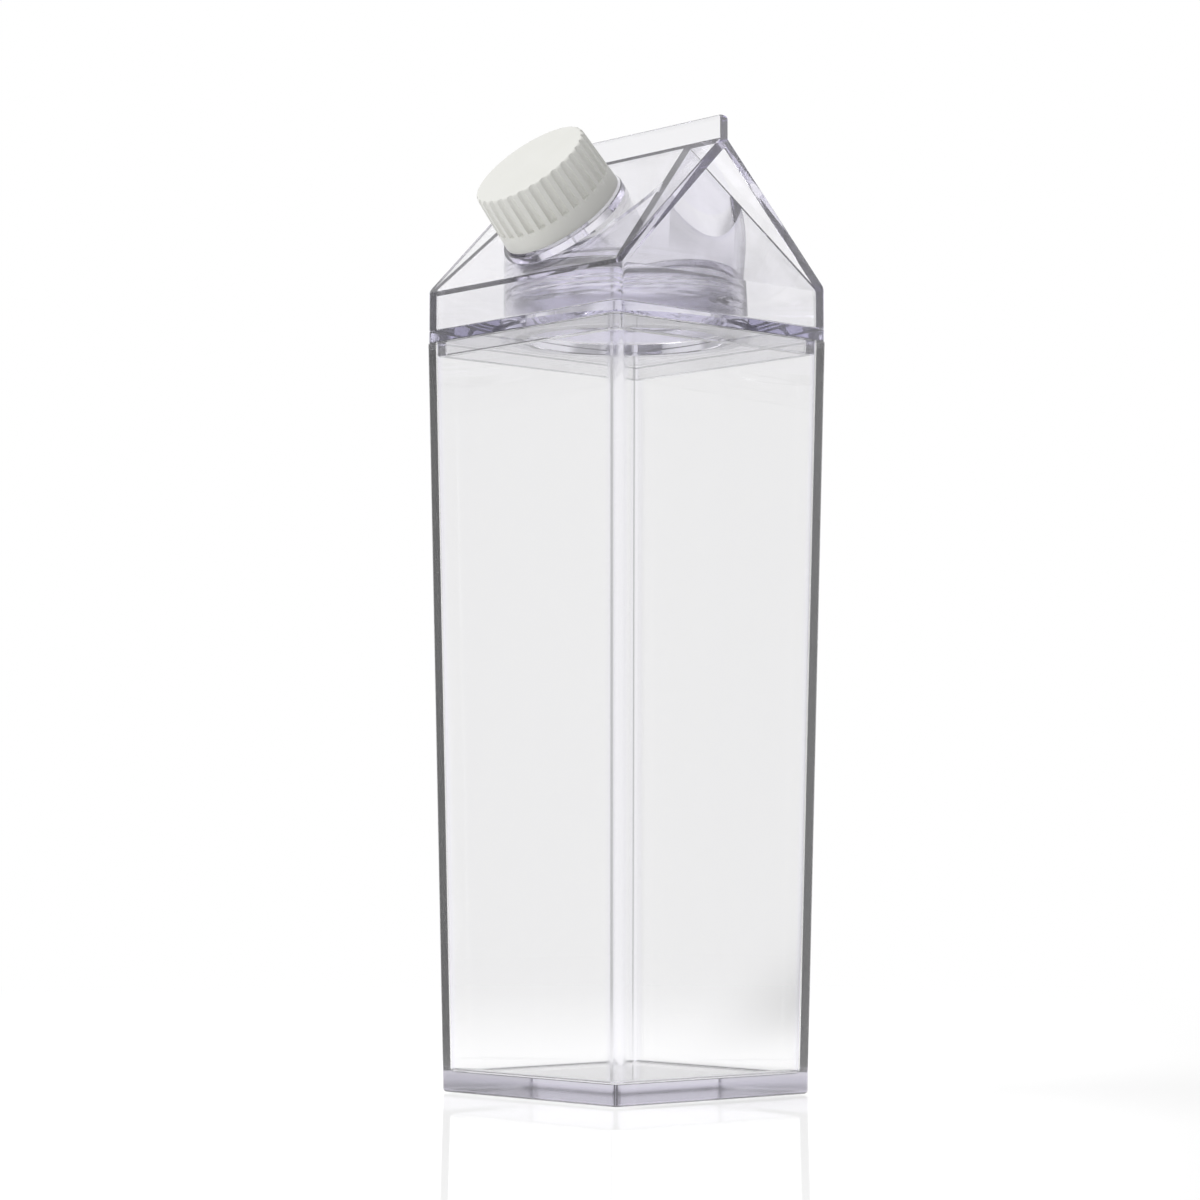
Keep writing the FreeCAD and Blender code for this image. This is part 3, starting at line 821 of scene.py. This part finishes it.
add(tree, "ShaderNodeOutputMaterial", links={"Surface": surface.outputs["BSDF"]})

screw_cap = bpy.data.objects.new("ribbed_screw_cap", bpy.data.meshes.new("ribbed_screw_cap"))
bpy.context.scene.collection.objects.link(screw_cap)
repeat = screw_cap.modifiers.new("ribs", "NODES")
repeat.node_group = ring
sockets = {item.name: item.identifier for item in ring.interface.items_tree if item.in_out == "INPUT"}
repeat[sockets["Sector"]] = cap_sector
repeat[sockets["Count"]] = CAP_GROOVES
repeat[sockets["Weld distance"]] = SEAM_WELD
repeat[sockets["Material"]] = satin
bake(screw_cap)
bpy.data.objects.remove(cap_sector)
screw_cap.data.transform(on_slope)
finish_mesh(screw_cap, sharp_degrees=50)
dress(screw_cap, satin, "cap_white", "screw_cap")

# ---------------------------------------------------------------------------------------------
# Studio: a white table that runs into a bright background. The surroundings beside and behind the
# camera are grey, and so is a flag at the right of the background, so that the clear edges read
# darker than what lies behind them. Lengths are in metres here and for the camera.
# ---------------------------------------------------------------------------------------------
FLOOR_REACH = 6.0
FLOOR_DROP = 0.0002
FLOOR_COLOUR = "#959595"
FLOOR_GLOW = 0.56
FLOOR_SHINE = 0.30
FLOOR_FADE_START = 0.08
FLOOR_FADE_END = 0.55
STUDIO_TURN = math.radians(48)
WALL_LEFT = 0.78
WALL_RIGHT = 0.68
BACKDROP_START = 0.35
BACKDROP_END = 0.80
FLAG_LEVEL = 0.50
FLAG_START = -0.07
FLAG_END = -0.58
FLAG_FADE = 0.14
FLAG_AHEAD = 0.3
OVERHEAD = 0.85
OVERHEAD_START = 0.40
OVERHEAD_END = 0.85
FILL = 0.60
KEY_PLACE = (-0.5, -0.8, 1.3)
KEY_AIM = (0, 0, 0.15)
KEY_SIZE = 0.9
KEY_WATTS = 10


def surroundings(tree, direction):
    """How bright the studio is in a direction: white ahead, but for a grey flag to the right, and
    grey beside and behind the camera."""
    axis = (-math.sin(STUDIO_TURN), math.cos(STUDIO_TURN), 0.0)
    left = (-math.cos(STUDIO_TURN), -math.sin(STUDIO_TURN), 0.0)
    ahead = add(tree, "ShaderNodeVectorMath", {1: axis}, {0: direction}, operation="DOT_PRODUCT")
    aside = add(tree, "ShaderNodeVectorMath", {1: left}, {0: direction}, operation="DOT_PRODUCT")
    ramps = []
    for source, start, end in (
            (ahead, BACKDROP_START, BACKDROP_END),
            (ahead, 0.0, FLAG_AHEAD),
            (aside, FLAG_START, FLAG_START - FLAG_FADE),
            (aside, FLAG_END, FLAG_END + FLAG_FADE)):
        ramps.append(add(
            tree, "ShaderNodeMapRange", {"From Min": start, "From Max": end},
            {"Value": source.outputs["Value"]}, interpolation_type="SMOOTHSTEP"))
    bright, forward, near, far = [ramp.outputs["Result"] for ramp in ramps]
    walls = add(
        tree, "ShaderNodeMapRange",
        {"From Min": -1.0, "From Max": 1.0, "To Min": WALL_RIGHT, "To Max": WALL_LEFT},
        {"Value": aside.outputs["Value"]})
    backdrop = add(
        tree, "ShaderNodeMapRange", {"To Max": 1.0},
        {"Value": bright, "To Min": walls.outputs["Result"]})
    band = add(tree, "ShaderNodeMath", links={0: near, 1: far}, operation="MULTIPLY")
    flag = add(tree, "ShaderNodeMath", links={0: band.outputs[0], 1: forward}, operation="MULTIPLY")
    level = add(
        tree, "ShaderNodeMix", {3: FLAG_LEVEL},
        {0: flag.outputs[0], 2: backdrop.outputs["Result"]}, data_type="FLOAT")
    return level.outputs[0]


floor_mesh = bmesh.new()
corners = [(-1, -1), (1, -1), (1, 1), (-1, 1)]
floor_mesh.faces.new(
    [floor_mesh.verts.new((x * FLOOR_REACH, y * FLOOR_REACH, -FLOOR_DROP)) for x, y in corners])
table_top = as_object("table_top", floor_mesh)

# Polished white acrylic: it takes the bottle's shadow and a faint clear reflection near its foot.
# Further off it fades into the background.
acrylic, tree, place = empty_material("polished_white_acrylic")
distance = add(tree, "ShaderNodeVectorMath", links={0: place}, operation="LENGTH")
towards = add(tree, "ShaderNodeVectorMath", links={0: place}, operation="NORMALIZE")
fade = add(
    tree, "ShaderNodeMapRange", {"From Min": FLOOR_FADE_START, "From Max": FLOOR_FADE_END},
    {"Value": distance.outputs["Value"]}, interpolation_type="SMOOTHSTEP")
lit = add(tree, "ShaderNodeBsdfDiffuse", {"Color": to_linear(FLOOR_COLOUR)})
shine = add(tree, "ShaderNodeBsdfGlossy", {"Color": (FLOOR_SHINE,) * 3 + (1,), "Roughness": 0.03})
glow = add(tree, "ShaderNodeEmission", {"Color": (1, 1, 1, 1), "Strength": FLOOR_GLOW})
lit_and_shine = add(tree, "ShaderNodeAddShader", links={0: lit.outputs[0], 1: shine.outputs[0]})
near = add(tree, "ShaderNodeAddShader", links={0: lit_and_shine.outputs[0], 1: glow.outputs[0]})
rays = add(tree, "ShaderNodeLightPath")
far_level = add(
    tree, "ShaderNodeMix", {3: 1.0},
    {0: rays.outputs["Is Camera Ray"], 2: surroundings(tree, towards.outputs["Vector"])}, data_type="FLOAT")
far = add(tree, "ShaderNodeEmission", {"Color": (1, 1, 1, 1)}, {"Strength": far_level.outputs[0]})
both = add(
    tree, "ShaderNodeMixShader",
    links={0: fade.outputs["Result"], 1: near.outputs[0], 2: far.outputs[0]})
add(tree, "ShaderNodeOutputMaterial", links={"Surface": both.outputs[0]})
table_top.data.materials.append(acrylic)

world = bpy.data.worlds.new("studio")
bpy.context.scene.world = world
world.use_nodes = True
tree = world.node_tree
tree.nodes.clear()
direction = add(tree, "ShaderNodeTexCoord")
split = add(tree, "ShaderNodeSeparateXYZ", links={0: direction.outputs["Generated"]})
overhead = add(
    tree, "ShaderNodeMapRange",
    {"From Min": OVERHEAD_START, "From Max": OVERHEAD_END, "To Max": OVERHEAD},
    {"Value": split.outputs["Z"]}, interpolation_type="SMOOTHSTEP")
around = add(
    tree, "ShaderNodeMath",
    links={0: surroundings(tree, direction.outputs["Generated"]), 1: overhead.outputs["Result"]},
    operation="MAXIMUM")
rays = add(tree, "ShaderNodeLightPath")
soft = add(
    tree, "ShaderNodeMix", {3: FILL},
    {0: rays.outputs["Is Diffuse Ray"], 2: around.outputs["Value"]}, data_type="FLOAT")
seen = add(
    tree, "ShaderNodeMix", {3: 1.0},
    {0: rays.outputs["Is Camera Ray"], 2: soft.outputs[0]}, data_type="FLOAT")
sky = add(tree, "ShaderNodeBackground", {"Color": (1, 1, 1, 1)}, {"Strength": seen.outputs[0]})
add(tree, "ShaderNodeOutputWorld", links={"Surface": sky.outputs[0]})

lamp = bpy.data.lights.new("key", "AREA")
lamp.shape = "SQUARE"
lamp.size = KEY_SIZE
lamp.energy = KEY_WATTS
softbox = bpy.data.objects.new("key", lamp)
bpy.context.scene.collection.objects.link(softbox)
softbox.location = KEY_PLACE
softbox.rotation_euler = (Vector(KEY_AIM) - Vector(KEY_PLACE)).to_track_quat("-Z", "Y").to_euler()

# ---------------------------------------------------------------------------------------------
# Camera: a long lens about 0.8 m from the bottle, to the right of its spout and a little above the
# table, tipped up slightly. The studio's bright side lies straight ahead of it.
# ---------------------------------------------------------------------------------------------
CAMERA_PLACE = (0.57070, -0.52184, 0.05906)
CAMERA_PITCH = math.radians(4.01)
CAMERA_ROLL = math.radians(0.11)
CAMERA_LENS = 100.33
SENSOR_WIDTH = 36

lens = bpy.data.cameras.new("camera")
lens.lens = CAMERA_LENS
lens.sensor_width = SENSOR_WIDTH
camera = bpy.data.objects.new("camera", lens)
bpy.context.scene.collection.objects.link(camera)
turn = Matrix.Rotation(STUDIO_TURN, 4, "Z")
pitch = Matrix.Rotation(math.radians(90) + CAMERA_PITCH, 4, "X")
roll = Matrix.Rotation(CAMERA_ROLL, 4, "Z")
camera.matrix_world = Matrix.Translation(CAMERA_PLACE) @ turn @ pitch @ roll
bpy.context.scene.camera = camera
bpy.context.scene.view_settings.view_transform = "Standard"
